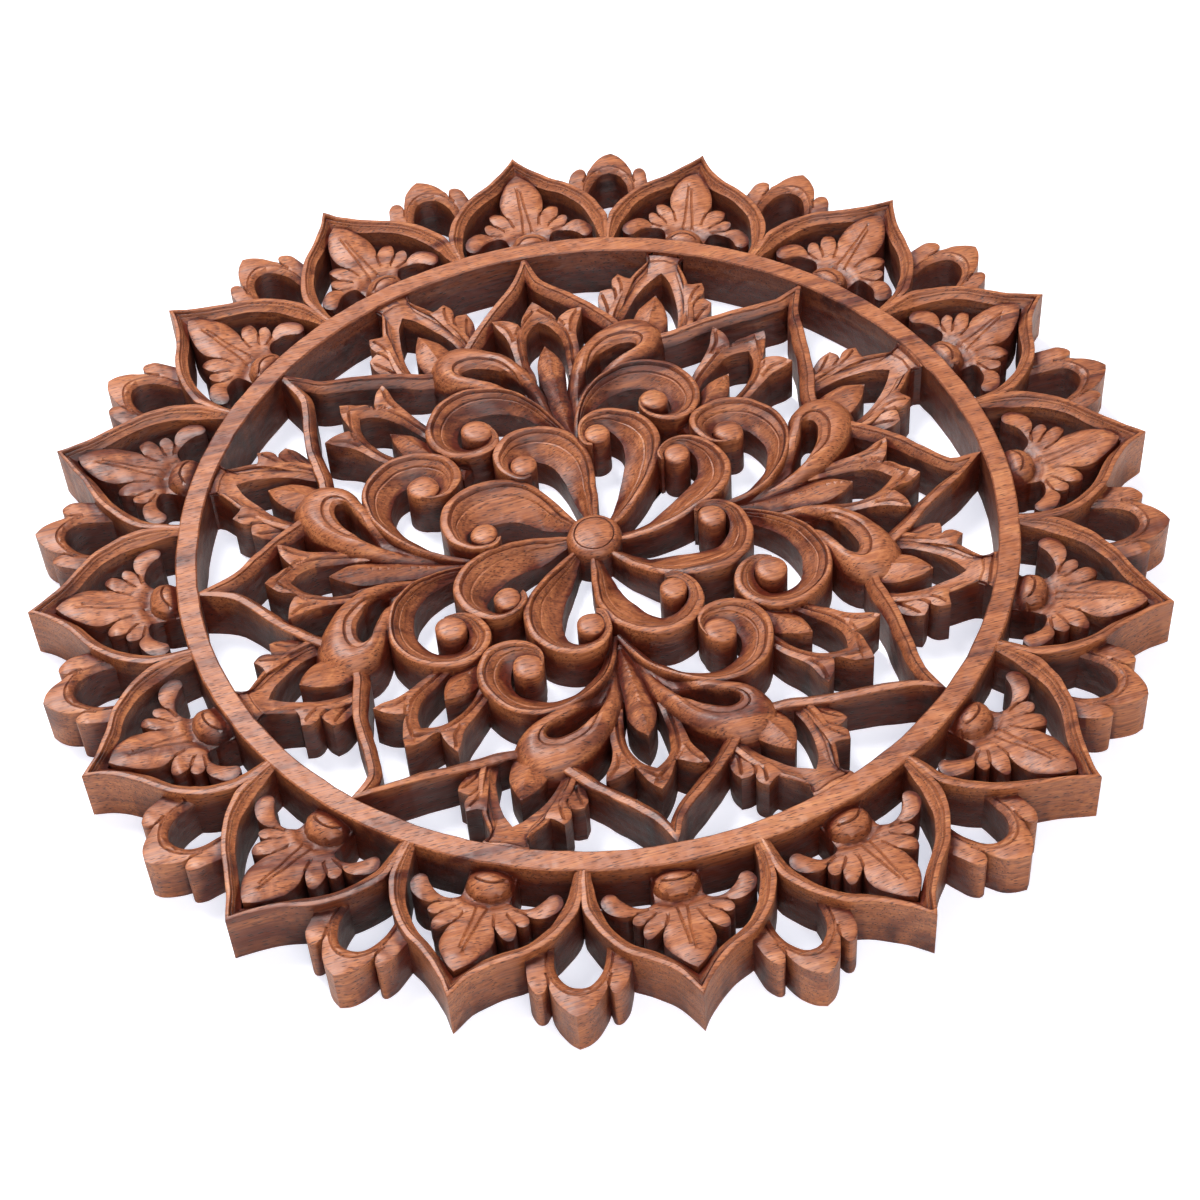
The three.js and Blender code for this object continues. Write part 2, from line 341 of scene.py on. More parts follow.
def rising(foot, head, rate):
    """Heights along a band that climbs from its foot and then runs level."""
    return lambda s: mix(foot, head, smoothstep(s * rate))


# Hollowed face beside a lip: (part of the width, part of the fall, depth of a second cut line)
HOLLOW = [(0.2, 0.2, 0.0), (0.25, 0.27, 0.35), (0.3, 0.34, 0.0), (0.52, 0.62, 0.0), (0.76, 0.84, 0.0),
          (1, 1, 0.0)]
FINE_WIDTH = 8.0  # on bands narrower than this the lip's rounding and cut line shrink too


def lip_and_slope(top, lip, drop, full, soft):
    """A rounded lip, a cut line beside it and a hollowed face that falls to the inner edge. The
    fall reaches its full drop where the band is as wide as full."""
    def profile(s, width):
        h = top(s)
        scale = min(1.0, width / FINE_WIDTH)
        lip_w = min(lip, 0.45 * width)
        cut = 0.6 * scale
        start = lip_w + cut * 0.9
        fall = drop * min(1.0, width / full) ** 1.2
        deep = max(0.0, fall - 1.1 * scale)
        rows = [(0, h - 0.3 - soft * scale),
                (0.3 * scale, h - 0.1 - 0.5 * soft * scale),
                (0.36 * lip_w, h - 0.03),
                (lip_w - cut * 1.5, h),
                (lip_w - cut, h - 0.25 * scale),
                (lip_w, h - 1.6 * scale),
                (start, h - 1.1 * scale)]
        for t, part, nick in HOLLOW:
            rows.append((mix(start, width, t), h - 1.1 * scale - deep * part - nick * scale))
        return rows
    return profile


def chamfered_strip(top, lip=0.52, drop=3.0):
    """A thin strip: a flat lip over part of the width, a cut line and a steep face beside it."""
    def profile(s, width):
        h = top(s)
        g = lip * width
        return [(0, h - 0.6), (0.35, h - 0.15), (g - 0.5, h), (g - 0.1, h - 0.8), (g + 0.25, h - 0.45),
                (mix(g, width, 0.55), h - 0.2 - 0.42 * drop), (width, h - drop)]
    return profile


def veined(base, veins, edge=0.3, reach=0.8):
    """A height with soft edges and V-shaped cuts along (line, half width, depth) veins."""
    cuts = [(line_walls(line), width, depth) for line, width, depth in veins]

    def height(x, y, d):
        h = base(x, y, d)
        for walls, width, depth in cuts:
            away = distance(walls, (x, y))
            if away < width:
                h -= depth * (1 - away / width)
        if d < reach:
            h -= edge * (1 - d / reach) ** 2
        return h
    return height


def cut_points(veins):
    """Points on both brims and in the bottom of each cut, so that its edges are crisp."""
    out = []
    for line, width, _ in veins:
        for shift in (-width, 0, width):
            row = []
            for a, b in zip(line, line[1:]):
                side = (b - a).normalized()
                row.append(a + Vector((-side.y, side.x)) * shift)
            out.append(row)
    return out


# Outlines. Halves run from the tip outwards on the right side.

PETAL_OUTER = [
    (0, 200), (4.8, 193.2), (12, 185.9), (21, 178.5), (27.2, 170), (30.2, 163), (31.2, 158.4), (30.4, 152),
    (29.2, 146.5), (28.2, 141.5),
]
PETAL_INNER = [
    (0, 191.5), (4.4, 187), (10, 181.8), (17.6, 175.4), (22.9, 167.6), (25.7, 158.5), (26.4, 151),
    (26.2, 142),
]
PALMETTE = [
    [(0, 190.6), (3.4, 187.8), (6.4, 183.6), (8.2, 178.8), (8.0, 173.8), (6.4, 169.4)],
    [(6.4, 169.4), (8.8, 171.8), (11.4, 173.5), (13.4, 172.6), (13.5, 169.4), (12.0, 166.2)],
    [(12.0, 166.2), (14.2, 167.4), (16.3, 166.4), (16.0, 163.8), (14.2, 161.8)],
    [(14.2, 161.8), (17.4, 163.0), (20.8, 162.3), (24.0, 159.6), (25.0, 156), (23.2, 153.2), (20.6, 153.4),
     (18.8, 156), (16.0, 158.6), (12.6, 159.8), (9.6, 159.4), (8.0, 157), (7.8, 152), (7.8, 144)],
]
PALMETTE_VEINS = [
    [(0.5, 181), (0.8, 174), (1.3, 167), (1.8, 161)],
    [(-0.9, 183), (-1.0, 175), (-1.3, 168), (-1.8, 161)],
]
LOBE_VEINS = [
    [(6.4, 169.4), (5.5, 167), (4.9, 164.2)],
    [(12.0, 166.2), (9.8, 164.4), (8.0, 162.6)],
    [(14.2, 161.8), (12.0, 161.2), (9.8, 160.8)],
]
BUD_MIDDLE = (0, 153.4)
BUD_REACH = (8.3, 6.2)
BUD_FOOT = [(-8.2, 150), (-8.2, 146), (8.2, 146), (8.2, 150)]
BUD_CRESCENT = [(-4.4, 152.4), (-2.4, 153.9), (0.6, 154.3), (3.4, 153.6), (5.2, 152.2)]
BUD_STEPS = 24
SMALL_PETAL = [
    [(0, 200.4), (3.2, 198.6), (6.2, 195.4), (8.2, 191.6), (9.2, 188.6)],
    [(9.2, 188.6), (10.6, 191.6), (12.9, 191.9), (15, 189), (15.9, 185), (16.4, 181.4), (16.6, 178)],
    [(16.6, 178), (11, 172.2)],
    [(11, 172.2), (8.0, 171.2)],
    [(8.0, 171.2), (8.2, 176), (7.8, 181), (6.2, 185.4), (3.4, 188.6), (0, 189.8)],
]
SMALL_ARCH_TOP = (0, 189.6)
SMALL_COLLAR = [
    (10.4, 176), (10.0, 182), (8.2, 187.0), (4.6, 191.0), (0, 192.6), (-4.6, 191.0), (-8.2, 187.0),
    (-10.0, 182), (-10.4, 176),
]
SMALL_NOTCH = [(9.2, 188.6), (9.6, 186.4), (10.6, 183.6)]
FRAME_OUTER = [
    (0, 141.8), (4.4, 133.6), (9.8, 126.6), (16.4, 118.9), (23.0, 111.2), (28.6, 103.8), (32.4, 98.4),
    (36.2, 94.6),
]
FRAME_INNER = [
    (0, 133.6), (2.0, 129.8), (5.9, 124.0), (11.9, 116.3), (18.2, 108.9), (23.2, 101.8), (26.8, 96.4),
    (30.8, 92),
]
CROWN = [
    [(0, 119.6), (2.6, 116.4), (5.2, 111.6), (7.0, 107.0)],
    [(7.0, 107.0), (9.6, 109.0), (13, 110.6), (17.4, 111.2)],
    [(17.4, 111.2), (16.2, 107.4), (13.8, 102.4), (12.7, 97), (12.2, 91), (11.2, 85), (9.6, 80)],
    [(9.6, 80), (6.0, 79.5)],
    [(6.0, 79.5), (7.0, 88), (7.2, 95), (6.2, 100.6), (3.8, 105.2), (0, 108.8)],
]
CROWN_GROOVE = [(8.8, 82), (9.4, 90), (9.5, 97), (8.6, 102.2), (6.0, 107.4), (0, 114.6)]
CROWN_CREASES = [
    [(7.0, 107.0), (8.4, 105.4), (9.6, 102.6)],
    [(15.4, 109.4), (12.4, 105.4), (11.2, 100)],
]
SPEAR = [[(0, 94.5), (3.0, 90.2), (5.0, 84.8), (4.9, 79), (3.6, 72), (2.4, 62)]]
LONG_SPEAR = [[(0, 94.5), (3.0, 90.2), (5.0, 84.8), (4.9, 79), (4.1, 72), (3.2, 60), (1.6, 48)]]
ARCH_OUTER = [
    (0, 142.4), (8.2, 142.3), (6.3, 139.6), (5.9, 136.9), (8.5, 132.2), (11.7, 126.5), (14.1, 120),
    (15.9, 113), (16.6, 104),
]
ARCH_INNER = [(0, 131.5), (2, 129.4), (4, 127), (6.6, 122.4), (8.6, 117.5), (10.1, 112), (10.8, 103.5)]
LEAFLETS = [
    [(9.6, 127), (12.6, 126.9), (16.4, 128.4)],
    [(16.4, 128.4), (17.8, 125.4), (17.6, 122.9), (16.5, 120.9)],
    [(16.5, 120.9), (18.8, 120.8), (21.6, 119.8)],
    [(21.6, 119.8), (21.8, 116), (20.4, 112), (18, 107.6)],
    [(18, 107.6), (13.4, 107)],
    [(13.4, 107), (9.6, 127)],
]
LEAFLET_VEINS = [
    [(16.5, 120.9), (15.2, 118.2), (14.2, 114.4)],
    [(15.6, 126.2), (14, 122.6), (13, 118)],
    [(20.2, 117.6), (18, 114), (16.2, 110)],
]
ARCH_BUD = [[(0, 120), (2.8, 117), (5.4, 112.6), (6.6, 107.4), (6.2, 102), (4.4, 96)]]
DROP_OUTER = [
    (-0.4, 46.5), (1.2, 56), (2.5, 64.5), (3.7, 73), (6.2, 81), (10.4, 88.8), (16.8, 96), (25, 101.8),
    (33.8, 104.2), (41.4, 101), (45.2, 93.8), (43.9, 86), (38.6, 80.4), (31, 77.6), (22.5, 73.6),
    (14, 66.6), (7, 56.5), (2.2, 46.5),
]
DROP_HOLE = [
    (11.8, 75.6), (13.0, 78.8), (17.0, 83.4), (22.6, 87.0), (28.4, 88.7), (32.2, 87.9), (33.0, 85.8),
    (30.6, 83.4), (25.4, 81.4), (19.4, 78.8), (14.8, 76.2),
]
SCROLL_OUTER = [
    (-0.3, 46), (3.4, 57.6), (9, 67.2), (17.6, 74.6), (27.5, 78), (36.5, 77.6), (44.6, 72.8), (50, 64.4),
    (50.8, 54.4), (46.6, 46.4), (39.4, 43.2), (32.6, 44.6), (28.4, 48.6), (27.3, 53.6), (28.6, 58.0),
]
SCROLL_INNER = [
    (2.6, 43.6), (6.6, 53.8), (11.4, 61.2), (17.9, 66.6), (25.4, 69.0), (32.0, 68.2), (37.2, 65.2),
    (39.9, 60.6), (40.0, 55.4), (37.8, 51.8), (34.8, 50.5), (31.9, 51.0), (29.8, 52.8), (28.9, 55.2),
    (29.4, 57.8),
]
SCROLL_EYE = (33.5, 56.4, 5.5)  # x, y and radius
# The arms' outlines: radius, and the angle from the line to the middle of the arm's eye
ARM_OUTER = [
    (8, -54), (16, -49), (23, -45.5), (34.5, -40), (44, -33.4), (51.8, -25), (56.4, -15.5), (57, -5.7),
    (53.6, 3.2), (47.4, 8.6), (41.2, 9.6), (37.2, 7.4), (36.2, 3),
]
ARM_INNER = [
    (8, -31), (12, -27), (17, -23.6), (26, -20.4), (34.2, -17.8), (40.8, -14.2), (45.6, -10.2), (48.4, -5.2),
    (48.5, 0.4), (46.2, 4.8), (42, 6.4), (39, 5.4), (37.6, 2.6),
]
ARM_EYE = (0, 42.4, 4.9)  # x, y and radius
BOSS = [
    (0, BACK_CUT), (10.0, BACK_CUT), (10.0, 12.2), (9.6, 13.4), (8.7, 14.4), (7.9, 14.9), (7.45, 14.95),
    (7.2, 14.3), (6.95, 15.0), (5.5, 15.5), (3.0, 15.85), (0, 16.0),
]
BOSS_SIDES = 48
RING_SIDES = 192
RING_BEVEL = 0.5

# How many points the bands have along half their length, or round it
PETAL_STEPS = 34
STRIP_STEPS = 24
DROP_STEPS = 56
CURL_STEPS = 60


# The wreath

def petal_border():
    top = arched(TOP - 0.15, TOP - 0.15, 1.0)
    return band(mirrored_line(PETAL_OUTER, PETAL_STEPS), mirrored_line(PETAL_INNER, PETAL_STEPS),
                lip_and_slope(top, lip=2.9, drop=4.0, full=7.0, soft=0.15))


def off_bud(x, y):
    """How far a point lies from the bud's middle, 1 at its edge."""
    return math.hypot((x - BUD_MIDDLE[0]) / BUD_REACH[0], (y - BUD_MIDDLE[1]) / BUD_REACH[1])


def palmette():
    """The leaf in a big petal: a pointed blade with lobes that curl away at both sides."""
    veins = [(curve(v), 0.55, 0.6) for v in PALMETTE_VEINS]
    for vein in LOBE_VEINS:
        veins += [(curve(line), 0.6, 0.7) for line in (vein, flipped(vein))]

    def base(x, y, d):
        h = mix(16.4, 20.6, smoothstep((y - 158) / 30))
        h -= 1.3 * (abs(x) / 8.5) ** 1.6 * smoothstep((y - 170) / 6)
        h += 1.3 * smoothstep((abs(x) - 13) / 8)
        return h - 1.2 * smoothstep((1.5 - off_bud(x, y)) / 0.4)
    return leaf(both_sides(PALMETTE), veined(base, veins, edge=0.35), cut_points(veins))


def bud():
    """A half dome against the ring with a crescent cut."""
    outline = []
    for k in range(BUD_STEPS + 1):
        angle = math.pi * (k / BUD_STEPS)
        rise = BUD_REACH[1] * math.sin(angle)
        outline.append(Vector((BUD_REACH[0] * math.cos(angle), BUD_MIDDLE[1] + rise)))
    outline += [Vector(q) for q in BUD_FOOT]
    crescent = [(curve(BUD_CRESCENT, 0.9), 0.5, 0.9)]

    def base(x, y, d):
        away = off_bud(x, max(y, BUD_MIDDLE[1]))
        h = 13.6 + 6.8 * math.sqrt(max(0.0, 1 - away ** 2.3))
        return h - 2.2 * smoothstep((152 - y) / 4)
    return leaf(outline, veined(base, crescent, edge=0.2, reach=0.6), cut_points(crescent), grid=1.4)


def small_petal():
    """A blunt three-lobed arch between two big petals, with a cut collar round its opening."""
    veins = [(curve(SMALL_COLLAR), 0.5, 0.55)]
    veins += [(curve(half), 0.6, 0.8) for half in (SMALL_NOTCH, flipped(SMALL_NOTCH))]
    arch = SMALL_PETAL[-1]
    brims = [line_walls(curve(half)) for half in (arch, flipped(arch))]

    def base(x, y, d):
        h = mix(17.6, 19.4, smoothstep((y - 176) / 18))
        h -= 0.8 * min(1.0, abs(x) / 8) ** 2 * smoothstep((y - 188) / 5)
        near = min(distance(walls, (x, y)) for walls in brims)
        return h - 1.0 * max(0.0, 1 - near / 1.6)
    outline = both_sides(SMALL_PETAL, SMALL_ARCH_TOP)
    return leaf(outline, veined(base, veins, edge=0.25, reach=0.7), cut_points(veins))


# The flower

def frame_strip():
    return band(mirrored_line(FRAME_OUTER, STRIP_STEPS), mirrored_line(FRAME_INNER, STRIP_STEPS),
                chamfered_strip(arched(20.9, 15.6, 1.2)))


def crown():
    """The three-pointed leaf under the tip of a frame."""
    veins = [(curve(line), 0.8, 1.1) for line in (CROWN_GROOVE, flipped(CROWN_GROOVE))]
    for crease in CROWN_CREASES:
        veins += [(curve(half), 0.8, 0.9) for half in (crease, flipped(crease))]

    def base(x, y, d):
        h = mix(15.2, 19.6, smoothstep((y - 82) / 34))
        h -= 0.9 * min(1.0, abs(x) / 4) * smoothstep((y - 110) / 4)
        inner = math.hypot(x / 7.2, (y - 95) / 13.8)
        return h - 1.6 * smoothstep((1.25 - inner) / 0.3)
    return leaf(both_sides(CROWN), veined(base, veins), cut_points(veins))


def ridged(runs, ridge, edge, low):
    """A pointed bud with a ridge along its axis that falls to the edges and towards its foot."""
    outline = both_sides(runs)
    tip, foot = runs[0][0][1], runs[-1][-1][1]
    half_width = max(q.x for q in outline)
    axis = [Vector((0, tip - 1.5)).lerp(Vector((0, foot + 1)), k / 20) for k in range(21)]

    def base(x, y, d):
        h = mix(ridge, low, smoothstep((tip - y) / (tip - foot)))
        h -= edge * min(1.0, abs(x) / half_width) ** 0.9
        return h - 1.6 * max(0.0, 1 - (tip - y) / 7)
    return leaf(outline, veined(base, [], edge=0.5), [axis])


def arch_strip():
    return band(mirrored_line(ARCH_OUTER, STRIP_STEPS), mirrored_line(ARCH_INNER, STRIP_STEPS),
                lip_and_slope(arched(21.6, 15.8, 1.1), lip=2.8, drop=3.2, full=6.5, soft=0.2))


def leaflets():
    """Two pointed leaflets on the right side of an arch."""
    veins = [(curve(line), 0.7, 0.9) for line in LEAFLET_VEINS]

    def base(x, y, d):
        return mix(15.4, 19.2, smoothstep((y - 108) / 18)) - 0.5 * smoothstep((x - 14) / 6)
    return leaf(chain(LEAFLETS), veined(base, veins), cut_points(veins))


def drop():
    """A teardrop that is rounded outside and has a rim along its hole."""
    outer_line = curve(DROP_OUTER)
    outer = even(outer_line + [outer_line[0]], count=DROP_STEPS)
    hole = even(curve(DROP_HOLE + DROP_HOLE[:1]), count=DROP_STEPS)

    def profile(s, width):
        y = outer[round(s * (DROP_STEPS - 1))].y
        h = mix(13.6, 19.8, smoothstep((y - 50) / 34))
        rim = min(mix(1.3, 4.0, smoothstep((0.66 - s) / 0.12)), 0.42 * width)
        cut = rim / 4.0
        g = width - rim
        fall = min(9.8, 0.76 * width)
        rows = []
        for t in (0.0, 0.05, 0.14, 0.27, 0.43, 0.6, 0.8):
            rounding = 1 - math.sqrt(1 - (1 - min(1.0, t / 0.85)) ** 2)
            rows.append((t * (g - 0.7), h - fall * rounding))
        return rows + [(g - 0.6 * cut, h - 0.3 * cut), (g, h - 1.3 * cut), (g + 0.5 * cut, h - 0.8 * cut),
                       (mix(g, width, 0.6), h - 0.8), (width, h - 2.0)]
    return band(outer, hole, profile, closed=True)


def scroll():
    return band(even(curve(SCROLL_OUTER), count=CURL_STEPS), even(curve(SCROLL_INNER), count=CURL_STEPS),
                lip_and_slope(rising(13.4, 18.7, 3.2), lip=3.0, drop=6.6, full=11.0, soft=0.7))


def arm():
    outer, inner = [even(curve([turned((0, r), a) for r, a in side]), count=CURL_STEPS)
                    for side in (ARM_OUTER, ARM_INNER)]
    return band(outer, inner, lip_and_slope(rising(12.6, 18.8, 2.2), lip=3.1, drop=7.6, full=12.0, soft=0.7))


def ring():
    section = [(RING_INNER, BACK_CUT), (RING_OUTER, BACK_CUT),
               (RING_OUTER, TOP - RING_BEVEL), (RING_OUTER - RING_BEVEL, TOP),
               (RING_INNER + RING_BEVEL, TOP), (RING_INNER, TOP - RING_BEVEL)]
    return lathe(section, RING_SIDES, closed=True)


def around(parts, count, offset=0.0, shift=(0, 0), turn=0.0, side=1):
    """Copies of the parts at even steps round the middle, clockwise from the top."""
    out = []
    for k in range(count):
        for bm in parts:
            out.append(placed(bm, turn - 360 * (k + offset) / count, side, shift))
    return out


def moved(bm, dy):
    bmesh.ops.translate(bm, verts=bm.verts, vec=(0, dy, 0))
    return bm


def carving():
    """The whole panel as one closed solid."""
    petal = joined([petal_border(), palmette(), bud()])
    parts = around([petal], PETALS) + around([small_petal()], PETALS, 0.5)
    flower = {"shift": FLOWER_SHIFT, "turn": FLOWER_TURN}
    parts += around([frame_strip()], FRAMES, **flower)
    parts += around([crown(), ridged(LONG_SPEAR, ridge=19.4, edge=2.8, low=12.4)], PAIRS, **flower)
    spear = ridged(SPEAR, ridge=19.2, edge=2.8, low=14.0)
    parts += around([moved(crown(), -INNER_SHIFT), moved(spear, -INNER_SHIFT)], PAIRS, 0.5, **flower)
    leaves = leaflets()
    arch_bud = ridged(ARCH_BUD, ridge=19.4, edge=2.4, low=16.0)
    arch = joined([arch_strip(), leaves, placed(leaves, 0, -1), arch_bud])
    parts += around([arch], FRAMES, 0.5, **flower)
    pair = joined([drop(), scroll(), post(*SCROLL_EYE, top=18.9, rise=1.6)])
    parts += around([pair], PAIRS, **flower) + around([pair], PAIRS, side=-1, **flower)
    curl = joined([arm(), post(*ARM_EYE, top=19.0, rise=1.5)])
    parts += around([curl], ARMS, shift=FLOWER_SHIFT, turn=FLOWER_TURN + ARM_PHASE)
    parts += [placed(lathe(BOSS, BOSS_SIDES), 0, 1, FLOWER_SHIFT), ring()]
    return joined([joined(parts), below_back()], "DIFFERENCE")


# Hand work: how far single tips and eyes lie off the even pattern, (mm sideways, mm outwards)
TIP_DRIFT = [
    (-0.1, -0.6), (-2.8, -1.7), (-0.5, 0.7), (-2.9, -1.2), (-2.5, 0), (-0.4, 2.2), (2.2, 1.7), (-0.2, -1.0),
    (-0.3, -3.9), (2.3, -2.4), (1.4, 1.3), (2.9, -1.7), (1.5, -0.3), (-1.3, 3.1), (0.8, 0.6), (-1.8, 0.5),
]
FRAME_DRIFT = [
    (-1.4, -4.0), (0.6, -2.2), (4.6, -2.4), (0.5, -1.7), (0.3, -2.4), (-4.0, -2.5), (0.7, -4.0), (0.5, -5.0),
]
EYE_DRIFT = [
    (4.7, -2.7), (1.4, 3.3), (-2.8, 3.2), (-3.6, -0.5), (1.5, -2.0), (1.0, 2.0), (-1.0, 1.1), (-1.5, -3.9),
]
PETAL_DRIFT_RADIUS = 186.0
FRAME_DRIFT_RADIUS = 132.0
DRIFT_REACH = 13.0
RING_MARGIN = 8.0  # the drift fades out over this distance from the ring
WAVE_LENGTH = 7.0  # the knife leaves lines that waver by a few tenths of a millimetre
WAVE_HEIGHT = 0.4
BACK_MARGIN = 1.0  # points no higher than this belong to the flat back


def drifts():
    """Places in the pattern and their drifts, in the panel's plane."""
    out = []
    rows = [(TIP_DRIFT, PETAL_DRIFT_RADIUS, 0.0, Vector((0, 0))),
            (FRAME_DRIFT, FRAME_DRIFT_RADIUS, FLOWER_TURN, FLOWER_SHIFT),
            (EYE_DRIFT, ARM_EYE[1], FLOWER_TURN + ARM_PHASE, FLOWER_SHIFT)]
    for table, radius, turn, shift in rows:
        for k, drift in enumerate(table):
            degrees = turn - 360 * k / len(table)
            out.append((turned((0, radius), degrees) + shift, turned(drift, degrees)))
    return out


def drifted(bm):
    """Moves the motifs a little, as hand work does, and leaves the ring round."""
    verts = list(bm.verts)
    at = np.array([v.co[:2] for v in verts])
    move = np.zeros_like(at)
    weight = np.zeros(len(at))
    for place, drift in drifts():
        near = np.exp(-np.sum((at - np.array(place)) ** 2, axis=1) / (2 * DRIFT_REACH ** 2))
        move += near[:, None] * np.array(drift)
        weight += near
    move /= np.maximum(weight, 1.0)[:, None]
    radius = np.hypot(*at.T)
    ring_gap = np.where(radius > RING_OUTER, radius - RING_OUTER, RING_INNER - radius)
    move *= np.clip(ring_gap / RING_MARGIN, 0, 1)[:, None]
    for v, (x, y) in zip(verts, at + move):
        wave = noise.noise_vector((x / WAVE_LENGTH, y / WAVE_LENGTH, 0)) * WAVE_HEIGHT
        v.co.x = min(TIP_RADIUS, max(-TIP_RADIUS, x + wave.x))
        v.co.y = min(TIP_RADIUS, max(-TIP_RADIUS, y + wave.y))
        if v.co.z > BACK_MARGIN:
            v.co.z = min(TOP, v.co.z + 0.5 * wave.z)


SKY_RAYS = 22
SKY_TURN = 2.4  # radians from one ray to the next, which spreads them evenly
GRAZING = 0.08  # rays flatter to the surface than this don't count
SHELTER_REACH = 40.0
RAY_START = 0.3


def shelter(bm):
    """Marks how deep in the carving each point lies: 0 in the open, 1 where nothing reaches it."""
    # this mark is the mask for the painted shade in the wood's colour
    layer = bm.verts.layers.float.new("shelter")
    tree = BVHTree.FromBMesh(bm)
    sky = []
    for k in range(SKY_RAYS):
        up = (k + 0.5) / SKY_RAYS
        flat = math.sqrt(1 - up * up)
        sky.append(Vector((flat * math.cos(SKY_TURN * k), flat * math.sin(SKY_TURN * k), up)))
    for v in bm.verts:
        n = Vector((v.normal.x, v.normal.y, max(0.0, v.normal.z)))
        n = n.normalized() if n.length > 1e-3 else Vector((0, 0, 1))
        start = v.co + n * RAY_START
        seen = total = 0.0
        for ray in sky:
            weight = ray.dot(n)
            if weight < GRAZING:
                continue
            total += weight
            if tree.ray_cast(start, ray, SHELTER_REACH)[0] is None:
                seen += weight
        v[layer] = 1 - seen / total


CREASE = math.radians(27)  # edges sharper than this stay crisp


def carved_panel_fine():
    """The carving with the unevenness of hand work, stood up in metres, as one object."""
    bm = carving()
    drifted(bm)
    bm.normal_update()
    shelter(bm)
    upright = Matrix.Scale(MM, 4) @ Matrix.Rotation(math.pi / 2, 4, "X")
    bmesh.ops.transform(bm, matrix=upright, verts=bm.verts)
    bmesh.ops.recalc_face_normals(bm, faces=bm.faces)
    for face in bm.faces:
        face.smooth = True
    for edge in bm.edges:
        edge.smooth = edge.calc_face_angle(0) < CREASE
    mesh = bpy.data.meshes.new("carved_panel_fine")
    bm.to_mesh(mesh)
    bm.free()
    thing = bpy.data.objects.new("carved_panel_fine", mesh)
    bpy.context.scene.collection.objects.link(thing)
    return thing


panel = carved_panel_fine()
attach(panel, "root")
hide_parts("carved_panel")


# Materials

def linear(code):
    """sRGB hex to linear colour."""
    channels = [int(code[k:k + 2], 16) / 255 for k in (1, 3, 5)]
    return (*[c / 12.92 if c <= 0.04045 else ((c + 0.055) / 1.055) ** 2.4 for c in channels], 1)


def add(tree, kind, settings=None, links=None):
    """Adds a node, sets its properties, inputs and colour stops, and links its inputs. Inputs
    that share one name are given by their number."""
    node = tree.nodes.new(kind)
    for name, value in (settings or {}).items():
        if name == "stops":
            elements = node.color_ramp.elements
            while len(elements) < len(value):
                elements.new(0.5)
            for element, (place, code) in zip(elements, value):
                element.position = place
                element.color = linear(code)
        elif isinstance(name, int) or name in node.inputs:
            node.inputs[name].default_value = value
        else:
            setattr(node, name, value)
    for name, socket in (links or {}).items():
        tree.links.new(socket, node.inputs[name])
    return node


def material_of(name, settings):
    """A material and its node tree, with plain values on the surface shader."""
    material = bpy.data.materials.new(name)
    material.use_nodes = True
    shader = material.node_tree.nodes["Principled BSDF"]
    for key, value in settings.items():
        shader.inputs[key].default_value = value
    return material, material.node_tree


FIBRE = (24.0, 1.0, 0.55)  # length, depth and width of one fibre bundle, mm
LAYER = (70.0, 1.5, 13.0)  # growth layers lie nearly flat in the board
STREAK = (260.0, 30.0, 15.0)  # bands of dark heartwood
PORE = (4.6, 1.1, 0.58)  # open pores, drawn about twice as wide as real ones so that they show
GOUGE = 5.5  # mm from one shallow wave of the gouge to the next
GRAIN_TURN = (0, math.radians(6), math.radians(2.5))  # the grain isn't quite square to the panel
FIBRE_DEPTH = 0.00022
GOUGE_DEPTH = 0.0009
SOFT_EDGE = 0.0004  # cloth and wax round every edge by this much
A, B, RESULT = 6, 7, 2  # the colour inputs and the colour output of a Mix node


def stretched(tree, place, size):
    """Coordinates in which a lump of the given size in mm is one unit long."""
    scale = [1 / (length * MM) for length in size]
    return add(tree, "ShaderNodeMapping", {"Scale": scale}, {"Vector": place}).outputs["Vector"]


def grain(tree, place, size, detail, distortion):
    """Noise drawn out along the fibres, its lumps of a given size in mm."""
    return add(tree, "ShaderNodeTexNoise",
               {"Scale": 1.0, "Detail": detail, "Roughness": 0.6, "Distortion": distortion},
               {"Vector": stretched(tree, place, size)}).outputs["Fac"]


def wood_colour(tree, place, fibre):
    """Brown layers and fibres, dark bands of heartwood and the pores' dark lines. Gives the
    colour and where the pores are."""
    layer = grain(tree, place, LAYER, 4.0, 1.2)
    streak = grain(tree, place, STREAK, 3.0, 0.8)
    tone = add(tree, "ShaderNodeValToRGB",
               {"stops": [(0.32, "#6a321d"), (0.45, "#935029"), (0.56, "#a86138"), (0.68, "#be7a4a")]},
               {"Fac": layer})
    dark = add(tree, "ShaderNodeValToRGB",
               {"stops": [(0.34, "#4e2214"), (0.48, "#955333"), (0.64, "#bb7546")]}, {"Fac": fibre})
    body = add(tree, "ShaderNodeMix", {"data_type": "RGBA", "blend_type": "MIX", "Factor": 0.5},
               {A: tone.outputs["Color"], B: dark.outputs["Color"]})
    banded = add(tree, "ShaderNodeValToRGB", {"stops": [(0.52, "#000000"), (0.66, "#ffffff")]},
                 {"Fac": streak})
    heart = add(tree, "ShaderNodeMix", {"data_type": "RGBA", "blend_type": "MULTIPLY", B: linear("#a07a74")},
                {"Factor": banded.outputs["Color"], A: body.outputs[RESULT]})
    cells = add(tree, "ShaderNodeTexVoronoi", {"Scale": 1.0, "Randomness": 1.0, "distance": "EUCLIDEAN"},
                {"Vector": stretched(tree, place, PORE)})
    pore = add(tree, "ShaderNodeValToRGB", {"stops": [(0.16, "#ffffff"), (0.3, "#000000")]},
               {"Fac": cells.outputs["Distance"]})
    porous = add(tree, "ShaderNodeMix", {"data_type": "RGBA", "blend_type": "MULTIPLY", B: linear("#75503f")},
                 {"Factor": pore.outputs["Color"], A: heart.outputs[RESULT]})
    return porous.outputs[RESULT], pore.outputs["Color"]


